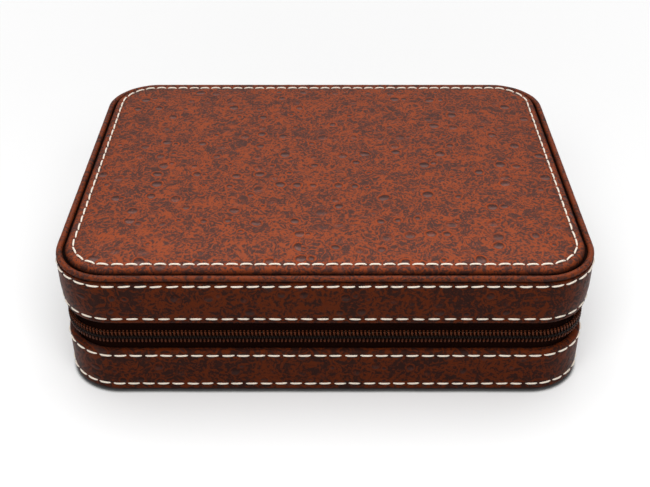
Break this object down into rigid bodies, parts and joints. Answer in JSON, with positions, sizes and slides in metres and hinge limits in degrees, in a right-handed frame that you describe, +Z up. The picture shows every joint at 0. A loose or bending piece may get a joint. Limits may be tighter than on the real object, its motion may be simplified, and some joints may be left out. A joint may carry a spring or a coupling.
{
  "type": "watch travel case",
  "caption": "Zippered leather travel case for watches, with a hinged padded lid and removable pillows in a divided tray.",
  "frame": {"origin": "centre of the flat underside", "axes": "+X to the case's right, along its width; -Y towards its front; +Z up"},
  "size_m": [0.2023, 0.152, 0.057],
  "materials": {
    "leather": "satin, marbled reddish brown",
    "suede": "matt suede lining",
    "board": "bare fibreboard",
    "foam": "soft foam",
    "thread": "waxed cream thread",
    "zip_tape": "woven dark brown tape",
    "zip_coil": "dark brown nylon coil",
    "metal": "dark antiqued"
  },
  "bodies": {
    "base": {"base_bottom_leather": "leather", "base_side_leather": "leather", "base_floor_board": "board", "base_wall_board": "board", "base_lining": "suede", "tray_frame": "suede", "divider_long": "suede", "divider_cross": "suede", "zip_tape_lower": "zip_tape", "zip_coil_lower": "zip_coil", "zip_stops_lower": "metal", "stitching_base_rim": "thread", "stitching_base_foot": "thread", "hinge_gusset": "leather", "hinge_lining": "suede"},
    "lid": {"lid_top_leather": "leather", "lid_top_foam": "foam", "lid_top_board": "board", "lid_side_leather": "leather", "lid_wall_board": "board", "lid_piping_cover": "leather", "lid_piping_cord": "foam", "lid_lining": "suede", "lid_pad": "suede", "zip_tape_upper": "zip_tape", "zip_coil_upper": "zip_coil", "zip_stops_upper": "metal", "stitching_lid_top": "thread", "stitching_lid_piping": "thread", "stitching_lid_rim": "thread"},
    "slider_front": {"slider_front": "metal"},
    "slider_rear": {"slider_rear": "metal"},
    "pull_front": {"pull_front": "metal"},
    "pull_rear": {"pull_rear": "metal"},
    "pillow_front_left": {"pillow_core_front_left": "foam", "pillow_cover_front_left": "suede"},
    "pillow_front_right": {"pillow_core_front_right": "foam", "pillow_cover_front_right": "suede"},
    "pillow_rear_left": {"pillow_core_rear_left": "foam", "pillow_cover_rear_left": "suede"},
    "pillow_rear_right": {"pillow_core_rear_right": "foam", "pillow_cover_rear_right": "suede"}
  },
  "joints": [
    {"name": "lid_hinge", "type": "hinge", "parent": "base", "child": "lid", "pos_m": [0, 0.07615, 0.0285], "axis": [-1, 0, 0], "range_deg": [0, 180], "deforming": ["hinge_gusset", "hinge_lining"]},
    {"name": "slider_front_slide", "type": "slide", "parent": "base", "child": "slider_front", "axis": [0, -1, 0], "range_m": [0, 0.05]},
    {"name": "slider_rear_slide", "type": "slide", "parent": "base", "child": "slider_rear", "axis": [0, 1, 0], "range_m": [0, 0.017]},
    {"name": "pull_front_swing", "type": "hinge", "parent": "slider_front", "child": "pull_front", "pos_m": [0.10045, 0.01, 0.0267], "axis": [0, 0, 1], "range_deg": [0, 150]},
    {"name": "pull_rear_swing", "type": "hinge", "parent": "slider_rear", "child": "pull_rear", "pos_m": [0.10045, 0.024, 0.0267], "axis": [0, 0, -1], "range_deg": [0, 150]},
    {"name": "pillow_front_left_lift", "type": "slide", "parent": "base", "child": "pillow_front_left", "axis": [0, 0, 1], "range_m": [0, 0.01]},
    {"name": "pillow_front_right_lift", "type": "slide", "parent": "base", "child": "pillow_front_right", "axis": [0, 0, 1], "range_m": [0, 0.01]},
    {"name": "pillow_rear_left_lift", "type": "slide", "parent": "base", "child": "pillow_rear_left", "axis": [0, 0, 1], "range_m": [0, 0.01]},
    {"name": "pillow_rear_right_lift", "type": "slide", "parent": "base", "child": "pillow_rear_right", "axis": [0, 0, 1], "range_m": [0, 0.01]}
  ]
}
